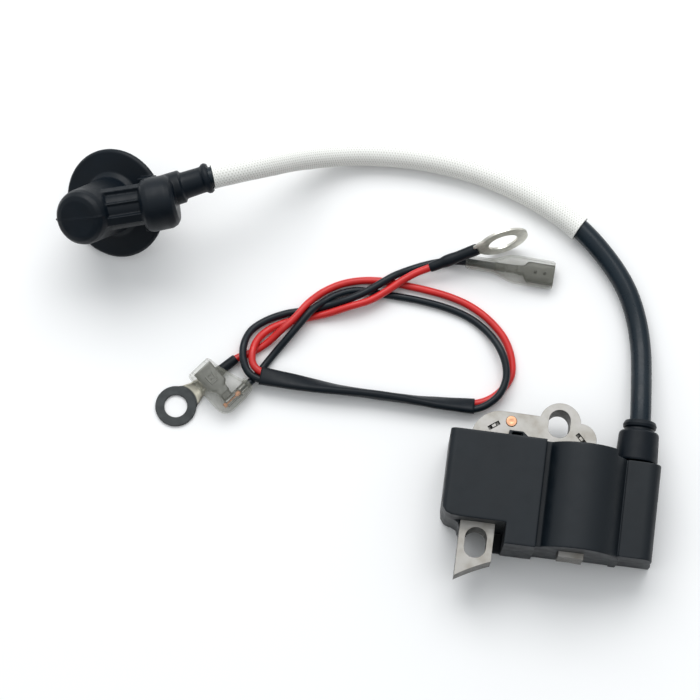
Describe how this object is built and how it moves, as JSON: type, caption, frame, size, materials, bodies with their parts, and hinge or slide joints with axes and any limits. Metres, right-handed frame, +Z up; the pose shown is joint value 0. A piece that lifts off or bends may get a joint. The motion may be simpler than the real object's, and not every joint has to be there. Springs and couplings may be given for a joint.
{
  "type": "ignition coil",
  "caption": "Small-engine ignition coil: potted housing on a laminated core with slotted feet, sleeved spark-plug lead with elbow boot, and a separate lead set with ring and blade ends.",
  "frame": {"origin": "on the surface that the object lies on, under the middle of the coil module's own box", "axes": "+X along the module's long edge towards the lead tower, +Y from the slotted leg towards the mounting lug, +Z up from the potted underside"},
  "size_m": [0.1739, 0.1221, 0.031],
  "materials": {
    "housing_plastic": "matte moulded charcoal plastic, satin highlights",
    "resin": "cast black resin, slightly uneven",
    "core_steel": "light grey satin punched steel, laminated edges",
    "copper": "bright copper",
    "bobbin_plastic": "natural glass-filled plastic",
    "winding_copper": "enamelled copper wire",
    "board_laminate": "green circuit board",
    "component_black": "moulded black epoxy",
    "component_film": "dipped ochre epoxy",
    "terminal_tin": "tin plated, slightly dull",
    "terminal_dark": "dark grey plated face, lighter worn edges",
    "brass_pin": "turned brass",
    "boot_rubber": "dull black rubber with soft highlights",
    "lead_jacket": "semi-gloss blue-black jacket",
    "braided_sleeve": "fine off-white glass-fibre braid",
    "spring_steel": "bright drawn wire",
    "wire_red": "glossy red insulation",
    "wire_black": "glossy black insulation",
    "sleeve_black": "matte black tubing",
    "clear_vinyl": "milky clear vinyl, slightly green-grey"
  },
  "bodies": {
    "root": {"housing": "housing_plastic", "potting_resin": "resin", "core_stack": "core_steel", "ground_rivet": "copper", "primary_bobbin": "bobbin_plastic", "primary_winding": "winding_copper", "secondary_bobbin": "bobbin_plastic", "secondary_winding": "winding_copper", "circuit_board": "board_laminate", "power_transistor": "component_black", "control_chip": "component_black", "storage_capacitor": "component_film", "board_resistors": "component_black", "rectifier_diode": "component_black", "winding_pins": "terminal_tin", "kill_terminal_tab": "terminal_tin", "hv_contact_pin": "brass_pin", "lead_seal_boot": "boot_rubber", "hv_lead": "lead_jacket", "heat_sleeve": "braided_sleeve", "plug_boot": "boot_rubber", "plug_contact_spring": "spring_steel"},
    "harness": {"red_wire": "wire_red", "black_wire": "wire_black", "harness_sleeve": "sleeve_black", "ring_terminal_small": "terminal_dark", "ring_terminal_large": "terminal_tin", "shrink_tube_small": "sleeve_black", "shrink_tube_large": "sleeve_black", "blade_receptacle_straight": "terminal_tin", "clear_sleeve_straight": "clear_vinyl", "strands_straight": "copper", "blade_receptacle_flag": "terminal_tin", "clear_sleeve_flag": "clear_vinyl", "strands_flag": "copper"}
  },
  "joints": [
    {"name": "harness_lift", "type": "slide", "parent": "root", "child": "harness", "axis": [0, 0, 1], "range_m": [0, 0.1]}
  ]
}
